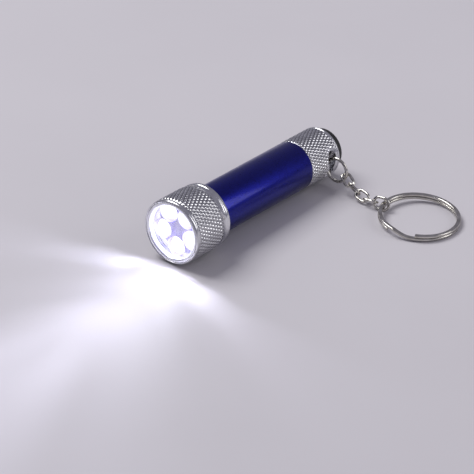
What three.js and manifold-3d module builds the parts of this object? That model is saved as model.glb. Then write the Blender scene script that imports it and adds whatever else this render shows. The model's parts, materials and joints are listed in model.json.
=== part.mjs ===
// Keychain flashlight: knurled head with five LEDs, barrel with four button cells, knurled tail cap
// with a push switch, and a chain that carries a split key ring.
// Millimetres. +Z up. The torch lies on its side on the plane z = 0, its axis over +X, head first.
import * as THREE from "three";
import { mergeVertices } from "three/addons/utils/BufferGeometryUtils.js";
import Module from "manifold-3d";

const wasm = await Module();
wasm.setup();

// ---------------------------------------------------------------- driving dimensions

// Clearances
const FIT = 0.05; // radial gap of a piece pressed or seated in another
const STACK = 0.05; // gap between two faces that are stacked
const THREAD = 0.08; // radial gap between a thread's crest and the bore it turns in
const SLIDE = 0.12; // radial gap of a rod or dome that travels
const WIRE_GAP = 0.1; // gap between two hooked wires

// Facets
const SIDES = 32; // turned pieces, all with the same phase, so that their flats line up
const SMALL_SIDES = 16; // small turned pieces
const WIRE_SIDES = 6; // round wire

// Head
const HEAD_RADIUS = 9.5;
const HEAD_BORE = 8.75;
const HEAD_REAR_RADIUS = 9.3;
const HEAD_BAND_RADIUS = 9.15; // smooth turned band behind the knurl
const HEAD_BAND = 3.2; // length of the smooth stretch behind the knurl
const HEAD_LIP = 1.15; // smooth bezel in front of the knurl
const HEAD_THREAD = 2.95; // length of the threaded mouth at the back
const BEVEL = 0.25;
const BEZEL_WALL = 0.8;
const BEZEL_THICK = 0.6;
const BEZEL_SETBACK = 0.1;
const LENS_THICK = 0.9;
const LENS_SEAL = 0.6; // section of the lens O-ring
const REFLECTOR_DEPTH = 4.6;
const WELL_MOUTH = 2.98; // radius of a reflector well at its mouth

// LEDs and their board
const LED_COUNT = 5;
const LED_RADIUS = 2.5;
const LED_FLANGE = 2.9;
const LED_FLANGE_THICK = 0.9;
const LED_LENGTH = 8.25;
const LED_CIRCLE = 5.2; // radius of the circle that the LEDs stand on
const LED_LEG = 0.4; // square leg
const LED_LEG_PITCH = 2.54;
const LED_LEG_TAIL = 0.6; // what stands out of the board's back
const LENS_TO_LED = 0.3;
const BOARD_THICK = 1.0;
const SPACER_WALL = 0.32;
const PAD_RADIUS = 2.9;
const PAD_THICK = 0.3;
const RESISTOR = [0.6, 3.2, 1.6]; // thickness, length, width

// Barrel
const TUBE_RADIUS = 7.2;
const TUBE_LENGTH = 39.5; // what shows between head and cap
const TUBE_BORE = 6.1;
const TUBE_STEP_BORE = 5.75; // the narrower mouth that stops the battery sleeve
const TUBE_STEP = 3.8; // how deep that mouth goes
const THREAD_RADIUS = 6.75;
const CAP_THREAD = 4.9; // length of the thread under the tail cap
const SEAL_WIRE = 0.42; // section of the two thin barrel O-rings
const SEAL_FROM_SHOULDER = 0.6;

// Cells and their sleeve
const CELL_COUNT = 4;
const CELL_RADIUS = 5.8;
const CELL_HEIGHT = 5.4;
const CELL_CAP_RADIUS = 4.7;
const CELL_CAP = 0.45;
const SLEEVE_WALL = 0.2;
const SLEEVE_LIP = 1.0;
const SLEEVE_LIP_BORE = 4.3;
const SLEEVE_TAIL = 2.0; // sleeve behind the last cell
const FRONT_SPRING = 6.2; // length of the spring between board and first cell

// Tail cap and switch
const CAP_RADIUS = 7.3;
const CAP_WEB = 4.8; // solid stretch that the ring's hole is drilled in
const CAP_WEB_BORE = 2.1;
const CAP_SEAT = 1.2; // depth of the button's seat
const CAP_RIM = 0.5; // wall around the seat
const RETAINER_THICK = 1.2;
const SWITCH_RADIUS = 5.75;
const SWITCH_WALL = 1.05;
const SWITCH_LENGTH = 5.2;
const SWITCH_COVER = 0.8;
const PLUNGER_RADIUS = 1.8;
const PLUNGER_FLANGE = 3.9;
const BUTTON_TRAVEL = 1.2;
const BUTTON_HEIGHT = 3.3; // how far the button stands out of the cap
const BUTTON_WALL = 0.9;
const BOOT_BASE = 0.35; // wall of the boot's foot in the seat
const RIVET_RADIUS = 2.2;

// Hole for the ring: two drillings that meet under a bridge
const HOLE_FROM_END = 3.4;
const HOLE_DEPTH = 5.35; // distance of the meeting point from the torch's axis
const HOLE_DROP = -1.4; // its height above the axis
const TOP_DRILL = { radius: 1.75, lean: 30 };
const LOW_DRILL = { radius: 1.45, lean: 22 };

// Jump ring, chain and key ring
const JUMP_RADIUS = 3.5; // to the wire's centre
const JUMP_WIRE = 0.9;
const JUMP_CENTRE = [-8.8, -1.6]; // across and above the torch's axis
const JUMP_HOOK = 16; // where the chain hooks on, below the ring's outer side
const LINK = { length: 5.0, width: 3.4, wire: 0.8 };
const END_LINK = { length: 5.6, width: 4.2, wire: 0.8 };
// Heading from -Y towards +X, slope and roll of each link, degrees
const CHAIN = [
  { heading: -17, slope: -30, roll: 75, link: LINK },
  { heading: -7, slope: -20, roll: 150, link: LINK },
  { heading: -8, slope: -10, roll: 50, link: LINK },
  { heading: 0, slope: 9, roll: 120, link: LINK },
  { heading: 8, slope: 1, roll: 15, link: END_LINK },
];
const KEY_RING = { radius: 11.05, wide: 1.2, thick: 0.85, gap: 0.06 };
const KEY_RING_HEADING = 10; // from the chain's end towards the ring's centre, from -Y towards +X
const KEY_RING_START = 155; // angle of the lower end of its wire
const KEY_RING_RAMP = 33; // turn in which the wire climbs onto its first turn
const KEY_RING_MARGIN = 4;
const WIRE_CUT = 0.1; // gap between the two ends of a bent wire

// ---------------------------------------------------------------- stations along the torch's axis

const bezelFront = BEZEL_SETBACK;
const lensFront = bezelFront + BEZEL_THICK + STACK;
const lensBack = lensFront + LENS_THICK;
const sealFront = lensBack + STACK;
const reflectorFront = sealFront + LENS_SEAL + STACK;
const spacerFront = reflectorFront + REFLECTOR_DEPTH + STACK;
const ledTip = lensBack + LENS_TO_LED;
const ledBase = ledTip + LED_LENGTH;
const boardFront = ledBase + 4 * STACK;
const boardBack = boardFront + BOARD_THICK;
const headShoulder = boardBack + STACK;
const headBack = headShoulder + HEAD_THREAD;
const padBack = boardBack + STACK + PAD_THICK;

const tubeFront = headShoulder + 3 * STACK;
const barrelFront = headBack + STACK;
const barrelBack = barrelFront + TUBE_LENGTH;
const tubeBack = barrelBack + CAP_THREAD;
const sleeveFront = tubeFront + TUBE_STEP + STACK;
const springBack = padBack + STACK + FRONT_SPRING;
const cellsFront = Math.max(springBack, sleeveFront + SLEEVE_LIP) + STACK;
const cellsBack = cellsFront + CELL_COUNT * (CELL_HEIGHT + STACK) - STACK;

const capFront = barrelBack + STACK;
const retainerFront = tubeBack + 4 * STACK;
const retainerBack = retainerFront + RETAINER_THICK;
const webFront = retainerBack + STACK;
const seatFloor = webFront + CAP_WEB;
const capBack = seatFloor + CAP_SEAT;
const coverBack = webFront - STACK;
const coverFront = coverBack - SWITCH_COVER;
const housingBack = coverFront - STACK;
const housingFront = housingBack - SWITCH_LENGTH;
const housingFloor = housingFront + SWITCH_WALL;
const rivetFront = housingFront - STACK - 0.5;
const rivetBack = housingFloor + STACK + 0.35;
const contactFront = rivetBack + STACK + BUTTON_TRAVEL;
const plungerFlange = contactFront + 0.75;

// The torch rests on the head's knurl and on the cap's end, so its axis slopes down to the tail.
const restFront = headBack - HEAD_BAND;
const restBack = capBack - BEVEL;
const tilt = Math.atan2(HEAD_RADIUS - CAP_RADIUS, restBack - restFront);
const flatShare = Math.cos(Math.PI / SIDES);
const axisHeight =
  restFront * Math.sin(tilt) + HEAD_RADIUS * flatShare * Math.cos(tilt);

// ---------------------------------------------------------------- finishes

/** A standard material from a colour, a roughness and a metalness. */
function finish(color, roughness, metalness, more = {}) {
  return new THREE.MeshStandardMaterial({
    color,
    roughness,
    metalness,
    ...more,
  });
}

const bareAluminium = () => finish(0xb9bbbf, 0.28, 1);
const blueAnodised = () => finish(0x14177a, 0.3, 0.9);
const brightChrome = () => finish(0xe6e8ee, 0.08, 1);
const clearPlastic = () =>
  finish(0xf6f8ff, 0.04, 0, { transparent: true, opacity: 0.25 });
const ledEpoxy = () => finish(0xf4f6ff, 0.1, 0, { emissive: 0xe8ecff });
const boardGreen = () => finish(0x2c6b3c, 0.5, 0);
const whitePlastic = () => finish(0xe9e9e4, 0.45, 0);
const blackPlastic = () => finish(0x1b1b1d, 0.5, 0);
const blackRubber = () => finish(0x101012, 0.75, 0);
const springSteel = () => finish(0x9a9ca0, 0.3, 1);
const brass = () => finish(0xc79b4a, 0.3, 1);
const nickel = () => finish(0xc9c5bf, 0.16, 1);
const cellSteel = () => finish(0xc4c7cb, 0.22, 1);

// ---------------------------------------------------------------- shape helpers

const radians = THREE.MathUtils.degToRad;

/** Turns an outline of [radius, station] points about the torch's axis, which is +X. */
function turned(outline, sides = SIDES) {
  const onAxis = outline[0][0] === 0;
  const loop = onAxis ? outline : [...outline, outline[0]];
  const area = loop.reduce((sum, [r, s], i) => {
    const [nr, ns] = loop[(i + 1) % loop.length];
    return sum + r * ns - nr * s;
  }, 0);
  const ordered = area < 0 ? [...loop].reverse() : loop;
  const points = ordered.map(([r, s]) => new THREE.Vector2(r, s));
  const shape = new THREE.LatheGeometry(points, sides, Math.PI / sides);
  return shape.rotateZ(-Math.PI / 2);
}

/** A solid that manifold-3d can join and cut, from a closed geometry. */
function solid(geometry) {
  const bare = geometry.clone();
  bare.deleteAttribute("normal");
  bare.deleteAttribute("uv");
  const merged = mergeVertices(bare, 1e-4);
  const kept = [];
  const index = merged.index.array;
  for (let i = 0; i < index.length; i += 3) {
    const [a, b, c] = [index[i], index[i + 1], index[i + 2]];
    if (a !== b && b !== c && c !== a) kept.push(a, b, c);
  }
  return new wasm.Manifold(
    new wasm.Mesh({
      numProp: 3,
      vertProperties: new Float32Array(merged.attributes.position.array),
      triVerts: new Uint32Array(kept),
    }),
  );
}

/** A three.js geometry from a manifold-3d solid. */
function geometryOf(made) {
  const mesh = made.getMesh();
  const geometry = new THREE.BufferGeometry();
  geometry.setAttribute(
    "position",
    new THREE.BufferAttribute(mesh.vertProperties, 3),
  );
  geometry.setIndex(new THREE.BufferAttribute(mesh.triVerts, 1));
  const flat = geometry.toNonIndexed();
  flat.computeVertexNormals();
  return flat;
}

const joined = (first, ...rest) =>
  geometryOf(rest.reduce((sum, g) => sum.add(solid(g)), solid(first)));
const cut = (body, ...tools) =>
  geometryOf(tools.reduce((left, g) => left.subtract(solid(g)), solid(body)));

/** A regular section for round wire, as a shape. */
function roundSection(radius, sides = WIRE_SIDES) {
  const corners = Array.from({ length: sides }, (_, i) => {
    const a = ((i + 0.5) / sides) * 2 * Math.PI;
    return new THREE.Vector2(radius * Math.cos(a), radius * Math.sin(a));
  });
  return new THREE.Shape(corners);
}

/** A wire along a curve. */
function wire(curve, section, steps) {
  return new THREE.ExtrudeGeometry(section, { steps, extrudePath: curve });
}

/** A coil about +X whose radius and station run from one end to the other, with closed end turns. */
class CoilCurve extends THREE.Curve {
  constructor(radii, stations, turns, flatTurns) {
    super();
    Object.assign(this, { radii, stations, turns, flatTurns });
  }
  getPoint(t, target = new THREE.Vector3()) {
    const angle = 2 * Math.PI * this.turns * t;
    const rising = (this.turns * t - this.flatTurns) / (this.turns - 2 * this.flatTurns);
    const share = THREE.MathUtils.smoothstep(rising, -0.1, 1.1);
    const station = THREE.MathUtils.lerp(this.stations[0], this.stations[1], share);
    const radius = THREE.MathUtils.lerp(this.radii[0], this.radii[1], t);
    return target.set(station, radius * Math.cos(angle), radius * Math.sin(angle));
  }
}

/** A stadium-shaped loop in the XY plane, long side along X, cut open in one straight side. */
class LinkCurve extends THREE.Curve {
  constructor({ length, width, wire: gauge }) {
    super();
    this.bend = (width - gauge) / 2;
    this.straight = (length - gauge) / 2 - this.bend;
    this.total = 4 * this.straight + 2 * Math.PI * this.bend;
  }
  getPoint(t, target = new THREE.Vector3()) {
    const { bend, straight, total } = this;
    const run = WIRE_CUT / 2 + t * (total - WIRE_CUT);
    const arc = Math.PI * bend;
    if (run < straight) return target.set(run, -bend, 0);
    if (run < straight + arc) {
      const a = (run - straight) / bend - Math.PI / 2;
      return target.set(straight + bend * Math.cos(a), bend * Math.sin(a), 0);
    }
    if (run < 3 * straight + arc)
      return target.set(2 * straight + arc - run, bend, 0);
    if (run < 3 * straight + 2 * arc) {
      const a = (run - 3 * straight - arc) / bend + Math.PI / 2;
      return target.set(-straight + bend * Math.cos(a), bend * Math.sin(a), 0);
    }
    return target.set(run - total, -bend, 0);
  }
}

/** A ring about +Z, cut open where its angle is `cutAt`. */
class OpenRingCurve extends THREE.Curve {
  constructor(radius, cutAt) {
    super();
    Object.assign(this, { radius, cutAt });
  }
  getPoint(t, target = new THREE.Vector3()) {
    const gap = WIRE_CUT / this.radius;
    const angle = this.cutAt + gap / 2 + t * (2 * Math.PI - gap);
    return target.set(this.radius * Math.cos(angle), this.radius * Math.sin(angle), 0);
  }
}

/** The key ring's wire about +Z: a lower turn, a short climb, and an upper turn over it. */
class KeyRingCurve extends THREE.Curve {
  constructor({ radius, thick, gap }) {
    super();
    this.radius = radius;
    this.rise = thick + gap;
    this.lower = 360 - KEY_RING_RAMP - KEY_RING_MARGIN;
    this.upper = 360 - KEY_RING_RAMP - 2 * KEY_RING_MARGIN;
  }
  getPoint(t, target = new THREE.Vector3()) {
    const turn = t * (this.lower + KEY_RING_RAMP + this.upper);
    const climb = THREE.MathUtils.clamp((turn - this.lower) / KEY_RING_RAMP, 0, 1);
    const angle = radians(KEY_RING_START - turn);
    return target.set(
      this.radius * Math.cos(angle),
      this.radius * Math.sin(angle),
      this.rise * (THREE.MathUtils.smoothstep(climb, 0, 1) - 0.5),
    );
  }
}

// ---------------------------------------------------------------- the assembly

const model = new THREE.Group();
const torch = new THREE.Group();
torch.position.set(0, 0, axisHeight);
torch.rotation.y = tilt;
const chain = new THREE.Group();
model.add(torch, chain);

/** Puts a named mesh into a group. */
function piece(group, name, geometry, material) {
  const mesh = new THREE.Mesh(geometry, material);
  mesh.name = name;
  group.add(mesh);
  return mesh;
}

/** A plain ring or disc from one station to another. */
const ringOutline = (inner, outer, from, to) => [
  [inner, from],
  [outer, from],
  [outer, to],
  [inner, to],
];

// ---- head

function buildHead() {
  const group = new THREE.Group();
  const knurlFront = HEAD_LIP + 0.45;
  const knurlBack = headBack - HEAD_BAND;
  const threadBore = THREAD_RADIUS + THREAD;
  piece(
    group,
    "head_shell",
    turned([
      [HEAD_BORE, 0],
      [HEAD_RADIUS - BEVEL - 0.1, 0],
      [HEAD_RADIUS - 0.1, BEVEL],
      [HEAD_RADIUS - 0.1, HEAD_LIP],
      [HEAD_BAND_RADIUS, HEAD_LIP + 0.1],
      [HEAD_BAND_RADIUS, knurlFront - 0.15],
      [HEAD_RADIUS, knurlFront],
      [HEAD_RADIUS, knurlBack],
      [HEAD_BAND_RADIUS, knurlBack + 0.3],
      [HEAD_BAND_RADIUS, headBack - 1.3],
      [HEAD_REAR_RADIUS, headBack - 1.15],
      [HEAD_REAR_RADIUS, headBack - BEVEL],
      [HEAD_REAR_RADIUS - BEVEL, headBack],
      [threadBore, headBack],
      [threadBore, headShoulder],
      [HEAD_BORE, headShoulder],
    ]),
    bareAluminium(),
  );

  const seated = HEAD_BORE - FIT;
  piece(
    group,
    "bezel_ring",
    turned([
      [seated - BEZEL_WALL, bezelFront + 0.2],
      [seated - BEZEL_WALL / 2, bezelFront],
      [seated, bezelFront],
      [seated, bezelFront + BEZEL_THICK],
      [seated - BEZEL_WALL, bezelFront + BEZEL_THICK],
    ]),
    brightChrome(),
  );
  piece(
    group,
    "lens",
    turned([
      [0, lensFront],
      [seated - BEZEL_WALL, lensFront],
      [seated, lensFront],
      [seated, lensBack],
      [0, lensBack],
    ]),
    clearPlastic(),
  );
  const sealRing = new THREE.TorusGeometry(
    seated - LENS_SEAL / 2,
    LENS_SEAL / 2,
    6,
    SIDES,
  );
  sealRing.rotateY(Math.PI / 2);
  sealRing.translate(sealFront + LENS_SEAL / 2, 0, 0);
  piece(group, "lens_seal", sealRing, blackRubber());
  piece(group, "reflector", reflectorShape(seated), brightChrome());
  piece(
    group,
    "led_spacer",
    turned(ringOutline(seated - SPACER_WALL, seated, spacerFront, boardFront - STACK)),
    whitePlastic(),
  );
  piece(group, "led_board", boardShape(seated), boardGreen());
  for (let i = 0; i < LED_COUNT; i++)
    piece(group, `led_${i + 1}`, placeOnCircle(ledShape(), i), ledEpoxy());
  piece(
    group,
    "board_contact",
    turned([
      [0, boardBack + STACK],
      [PAD_RADIUS, boardBack + STACK],
      [PAD_RADIUS, padBack],
      [0, padBack],
    ], SMALL_SIDES),
    brass(),
  );
  const chip = new THREE.BoxGeometry(...RESISTOR);
  chip.translate(boardBack + STACK + RESISTOR[0] / 2, 0, PAD_RADIUS + RESISTOR[2] / 2 + 0.2);
  piece(group, "resistor", chip, blackPlastic());
  return group;
}

/** Moves a piece that stands on the axis to its place on the LED circle; the last one is lowest. */
function placeOnCircle(geometry, i) {
  const angle = ((i + 1) / LED_COUNT) * 2 * Math.PI;
  return geometry.translate(0, 0, -LED_CIRCLE).rotateX(angle);
}

/** A block behind the lens with one tapered well for each LED. */
function reflectorShape(radius) {
  const back = reflectorFront + REFLECTOR_DEPTH;
  const block = turned([
    [0, reflectorFront + 0.25],
    [radius - 0.9, reflectorFront + 0.25],
    [radius - 0.55, reflectorFront],
    [radius, reflectorFront],
    [radius, back],
    [0, back],
  ]);
  const hole = LED_RADIUS + FIT;
  const wells = Array.from({ length: LED_COUNT }, (_, i) =>
    placeOnCircle(
      turned(
        [
          [0, reflectorFront - 1],
          [WELL_MOUTH, reflectorFront - 1],
          [WELL_MOUTH, reflectorFront + 0.4],
          [hole, reflectorFront + 2.6],
          [hole, back + 1],
          [0, back + 1],
        ],
        SMALL_SIDES,
      ),
      i,
    ),
  );
  return cut(block, ...wells);
}

/** The two legs of one LED, grown by `extra` on every side, between two stations. */
function legs(extra, from, to) {
  return [-1, 1].map((side) => {
    const thick = LED_LEG + 2 * extra;
    const leg = new THREE.BoxGeometry(to - from, thick, thick);
    return leg.translate((from + to) / 2, (side * LED_LEG_PITCH) / 2, 0);
  });
}

/** The round board, with two holes for each LED's legs. */
function boardShape(radius) {
  const disc = turned([
    [0, boardFront],
    [radius, boardFront],
    [radius, boardBack],
    [0, boardBack],
  ]);
  const holes = [];
  for (let i = 0; i < LED_COUNT; i++)
    for (const hole of legs(FIT, boardFront - 1, boardBack + 1))
      holes.push(placeOnCircle(hole, i));
  return cut(disc, ...holes);
}

/** One LED: dome, round body, flange and two legs. */
function ledShape() {
  const dome = [0, 22.5, 45, 67.5, 90].map((a) => [
    LED_RADIUS * Math.sin(radians(a)),
    ledTip + LED_RADIUS * (1 - Math.cos(radians(a))),
  ]);
  dome[0][0] = 0;
  const body = turned(
    [
      ...dome,
      [LED_RADIUS, ledBase - LED_FLANGE_THICK],
      [LED_FLANGE, ledBase - LED_FLANGE_THICK],
      [LED_FLANGE, ledBase],
      [0, ledBase],
    ],
    SMALL_SIDES,
  );
  return joined(body, ...legs(0, ledBase - 0.5, boardBack + LED_LEG_TAIL));
}

// ---- barrel

function buildBarrel() {
  const group = new THREE.Group();
  const groove = THREAD_RADIUS - SEAL_WIRE + FIT;
  const frontGroove = barrelFront - SEAL_FROM_SHOULDER;
  const backGroove = barrelBack + SEAL_FROM_SHOULDER;
  const half = SEAL_WIRE / 2 + FIT;
  piece(
    group,
    "tube",
    turned([
      [TUBE_STEP_BORE, tubeFront],
      [THREAD_RADIUS - 0.2, tubeFront],
      [THREAD_RADIUS, tubeFront + 0.2],
      [THREAD_RADIUS, frontGroove - half],
      [groove, frontGroove - half],
      [groove, frontGroove + half],
      [THREAD_RADIUS, frontGroove + half],
      [THREAD_RADIUS, barrelFront],
      [TUBE_RADIUS, barrelFront],
      [TUBE_RADIUS, barrelBack - 0.2],
      [TUBE_RADIUS - 0.2, barrelBack],
      [THREAD_RADIUS, barrelBack],
      [THREAD_RADIUS, backGroove - half],
      [groove, backGroove - half],
      [groove, backGroove + half],
      [THREAD_RADIUS, backGroove + half],
      [THREAD_RADIUS, tubeBack - 0.2],
      [THREAD_RADIUS - 0.2, tubeBack],
      [TUBE_BORE, tubeBack],
      [TUBE_BORE, tubeFront + TUBE_STEP],
      [TUBE_STEP_BORE, tubeFront + TUBE_STEP],
    ]),
    blueAnodised(),
  );
  const seals = [
    ["head_seal", frontGroove],
    ["tail_seal", backGroove],
  ];
  for (const [name, station] of seals) {
    const outer = THREAD_RADIUS + FIT / 2;
    piece(
      group,
      name,
      turned(
        ringOutline(groove + FIT / 2, outer, station - half + FIT, station + half - FIT),
      ),
      blackRubber(),
    );
  }

  const inside = CELL_RADIUS + FIT;
  const outside = inside + SLEEVE_WALL;
  const lipBack = cellsFront - STACK;
  piece(
    group,
    "battery_sleeve",
    turned([
      [SLEEVE_LIP_BORE, sleeveFront],
      [outside, sleeveFront],
      [outside, cellsBack + SLEEVE_TAIL],
      [inside, cellsBack + SLEEVE_TAIL],
      [inside, lipBack],
      [inside - 0.4, lipBack],
      [SLEEVE_LIP_BORE, sleeveFront + SLEEVE_LIP],
    ]),
    whitePlastic(),
  );
  for (let i = 0; i < CELL_COUNT; i++) {
    const from = cellsFront + i * (CELL_HEIGHT + STACK);
    const to = from + CELL_HEIGHT;
    piece(
      group,
      `cell_${i + 1}`,
      turned([
        [0, from],
        [CELL_RADIUS - 0.3, from],
        [CELL_RADIUS, from + 0.3],
        [CELL_RADIUS, to - CELL_CAP - 0.15],
        [CELL_RADIUS - 0.25, to - CELL_CAP],
        [CELL_CAP_RADIUS + 0.2, to - CELL_CAP],
        [CELL_CAP_RADIUS, to],
        [0, to],
      ]),
      cellSteel(),
    );
  }
  return group;
}

/** A conical compression spring between two stations. */
function springShape(radii, from, to, turns, gauge) {
  const half = gauge / 2;
  const curve = new CoilCurve(radii, [from + half, to - half], turns, 0.6);
  return wire(curve, roundSection(half, 6), Math.round(turns * 10));
}

function buildSprings() {
  const group = new THREE.Group();
  piece(
    group,
    "front_spring",
    springShape([2.2, 3.4], padBack + STACK, cellsFront - STACK, 4, 0.5),
    springSteel(),
  );
  piece(
    group,
    "tail_spring",
    springShape([4.2, 1.9], cellsBack + STACK, rivetFront - STACK, 6, 0.55),
    springSteel(),
  );
  return group;
}

// ---- tail cap with its switch

/** A drilling across the cap from its meeting point outwards: the lean is from straight up or down. */
function drilling({ radius, lean }, up) {
  const reach = 12;
  const drill = new THREE.CylinderGeometry(radius, radius, reach, SMALL_SIDES);
  drill.translate(0, reach / 2 - radius * 0.55, 0);
  drill.rotateX(Math.PI / 2);
  const turn = radians(lean) * up;
  drill.rotateX(up > 0 ? turn : Math.PI + turn);
  return drill.translate(capBack - HOLE_FROM_END, -HOLE_DEPTH, HOLE_DROP);
}

function buildCap() {
  const group = new THREE.Group();
  const bore = THREAD_RADIUS + THREAD;
  const seat = CAP_RADIUS - CAP_RIM;
  const cap = turned([
    [bore, capFront],
    [CAP_RADIUS - 0.15, capFront],
    [CAP_RADIUS, capFront + 0.15],
    [CAP_RADIUS, capBack - BEVEL],
    [CAP_RADIUS - BEVEL, capBack],
    [seat, capBack],
    [seat, seatFloor],
    [CAP_WEB_BORE, seatFloor],
    [CAP_WEB_BORE, webFront],
    [bore, webFront],
  ]);
  piece(
    group,
    "tail_cap",
    cut(cap, drilling(TOP_DRILL, 1), drilling(LOW_DRILL, -1)),
    bareAluminium(),
  );
  piece(
    group,
    "switch_retainer",
    turned(ringOutline(SWITCH_RADIUS + FIT, bore - FIT, retainerFront, retainerBack)),
    brass(),
  );
  piece(
    group,
    "switch_housing",
    turned([
      [1.3, housingFront],
      [SWITCH_RADIUS - 0.2, housingFront],
      [SWITCH_RADIUS, housingFront + 0.2],
      [SWITCH_RADIUS, housingBack],
      [SWITCH_RADIUS - SWITCH_WALL, housingBack],
      [SWITCH_RADIUS - SWITCH_WALL, housingFloor],
      [1.3, housingFloor],
    ]),
    blackPlastic(),
  );
  piece(
    group,
    "switch_cover",
    turned(ringOutline(PLUNGER_RADIUS + SLIDE, SWITCH_RADIUS, coverFront, coverBack)),
    blackPlastic(),
  );
  piece(
    group,
    "contact_rivet",
    turned([
      [0, rivetFront],
      [RIVET_RADIUS, rivetFront],
      [RIVET_RADIUS, housingFront - STACK],
      [1.3 - FIT, housingFront - STACK],
      [1.3 - FIT, housingFloor + STACK],
      [1.7, housingFloor + STACK],
      [1.7, rivetBack],
      [0, rivetBack],
    ], SMALL_SIDES),
    brass(),
  );
  piece(
    group,
    "switch_spring",
    springShape([2.5, 2.5], housingFloor + STACK, plungerFlange - STACK, 4, 0.35),
    springSteel(),
  );
  piece(
    group,
    "boot_base",
    turned(ringOutline(seat - FIT - BOOT_BASE, seat - FIT, seatFloor + STACK, capBack - STACK)),
    blackRubber(),
  );
  return group;
}

function buildButton() {
  const group = new THREE.Group();
  const outer = CAP_RADIUS - CAP_RIM - FIT - BOOT_BASE - SLIDE;
  const foot = seatFloor + STACK + BUTTON_TRAVEL;
  const top = capBack + BUTTON_HEIGHT;
  const under = top - BUTTON_WALL;
  const nub = under - 0.7;
  // A flat-topped dome: the fifth powers of its radius share and of its height share add up to one.
  const crown = [0, 12, 28, 45, 62, 78, 90].map((a) => [
    a === 90 ? 0 : outer * Math.cos(radians(a)) ** (2 / 5),
    foot + (top - foot) * Math.sin(radians(a)) ** (2 / 5),
  ]);
  piece(
    group,
    "button_boot",
    turned([
      [0, nub],
      [PLUNGER_RADIUS + 0.5, nub],
      [PLUNGER_RADIUS + 0.5, under],
      [outer - BUTTON_WALL - 1.1, under],
      [outer - BUTTON_WALL, under - 0.9],
      [outer - BUTTON_WALL, foot],
      ...crown,
    ]),
    blackRubber(),
  );
  piece(
    group,
    "switch_plunger",
    turned([
      [0, plungerFlange - 0.05],
      [PLUNGER_FLANGE, plungerFlange - 0.05],
      [PLUNGER_FLANGE, plungerFlange + 0.8],
      [PLUNGER_RADIUS, plungerFlange + 0.8],
      [PLUNGER_RADIUS, nub - STACK],
      [0, nub - STACK],
    ], SMALL_SIDES),
    whitePlastic(),
  );
  piece(
    group,
    "moving_contact",
    turned([
      [0, contactFront],
      [0.9, contactFront],
      [0.9, plungerFlange - 0.05 - STACK],
      [0, plungerFlange - 0.05 - STACK],
    ], SMALL_SIDES),
    brass(),
  );
  return group;
}

torch.add(buildHead(), buildBarrel(), buildSprings(), buildCap(), buildButton());

// ---- jump ring, chain and key ring

const jumpShape = wire(
  new OpenRingCurve(JUMP_RADIUS, radians(-20)),
  roundSection(JUMP_WIRE / 2),
  32,
);
// Its own plane turns from XY to the plane across the torch's axis.
jumpShape.rotateY(Math.PI / 2);
jumpShape.translate(capBack - HOLE_FROM_END, JUMP_CENTRE[0], JUMP_CENTRE[1]);
piece(torch, "jump_ring", jumpShape, nickel());

model.updateMatrixWorld(true);
const hook = new THREE.Vector3(
  capBack - HOLE_FROM_END,
  JUMP_CENTRE[0] - JUMP_RADIUS * Math.cos(radians(JUMP_HOOK)),
  JUMP_CENTRE[1] - JUMP_RADIUS * Math.sin(radians(JUMP_HOOK)),
).applyMatrix4(torch.matrixWorld);

/** The direction that a heading, from -Y towards +X, and a slope give. */
function direction(heading, slope) {
  const flat = Math.cos(radians(slope));
  return new THREE.Vector3(
    flat * Math.sin(radians(heading)),
    -flat * Math.cos(radians(heading)),
    Math.sin(radians(slope)),
  );
}

// Each link's near end lies in the end before it: `hook` is the wire centre that it hangs on.
let gauge = JUMP_WIRE;
CHAIN.forEach(({ heading, slope, roll, link }, i) => {
  const along = direction(heading, slope);
  const inset = gauge / 2 + link.wire / 2 + WIRE_GAP;
  const reach = link.length - link.wire;
  const centre = hook.clone().addScaledVector(along, reach / 2 - inset);
  const level = new THREE.Vector3(0, 0, 1).cross(along).normalize();
  const upright = along.clone().cross(level);
  const width = upright
    .clone()
    .multiplyScalar(Math.cos(radians(roll)))
    .addScaledVector(level, Math.sin(radians(roll)));
  const mesh = piece(
    chain,
    `chain_link_${i + 1}`,
    wire(new LinkCurve(link), roundSection(link.wire / 2), 26),
    nickel(),
  );
  mesh.setRotationFromMatrix(
    new THREE.Matrix4().makeBasis(along, width, along.clone().cross(width)),
  );
  mesh.position.copy(centre);
  hook.addScaledVector(along, reach - inset);
  gauge = link.wire;
});

// The key ring leans: the last link's lower side is under its wire, and its far side is down.
// Its wire is two turns high, so it stops where its corners meet the round end of the link.
const { heading: lastHeading, slope: lastSlope, link: lastLink } = CHAIN[CHAIN.length - 1];
const ringHalf = KEY_RING.thick + KEY_RING.gap / 2;
const bendCentre = (lastLink.width - lastLink.wire) / 2;
const bendRoom = bendCentre - lastLink.wire / 2 - WIRE_GAP;
const wireInset =
  bendCentre + KEY_RING.wide / 2 - Math.sqrt(bendRoom ** 2 - ringHalf ** 2);
const ringHook = hook
  .clone()
  .addScaledVector(direction(lastHeading, lastSlope), -wireInset);
const ringSlope = -Math.atan2(ringHook.z - ringHalf, 2 * KEY_RING.radius);
const ringAlong = direction(KEY_RING_HEADING, THREE.MathUtils.radToDeg(ringSlope));
const ringLevel = new THREE.Vector3(0, 0, 1).cross(ringAlong).normalize();
const halfWide = KEY_RING.wide / 2;
const halfThick = KEY_RING.thick / 2;
const flatWire = new THREE.Shape(
  [
    [halfWide, halfThick * 0.45],
    [halfWide * 0.6, halfThick],
    [-halfWide * 0.6, halfThick],
    [-halfWide, halfThick * 0.45],
    [-halfWide, -halfThick * 0.45],
    [-halfWide * 0.6, -halfThick],
    [halfWide * 0.6, -halfThick],
    [halfWide, -halfThick * 0.45],
  ].map(([a, b]) => new THREE.Vector2(b, a)),
);
const keyRing = piece(
  chain,
  "split_ring",
  wire(new KeyRingCurve(KEY_RING), flatWire, 60),
  nickel(),
);
keyRing.setRotationFromMatrix(
  new THREE.Matrix4().makeBasis(
    ringLevel,
    ringAlong.clone().negate(),
    ringAlong.clone().cross(ringLevel),
  ),
);
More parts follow.
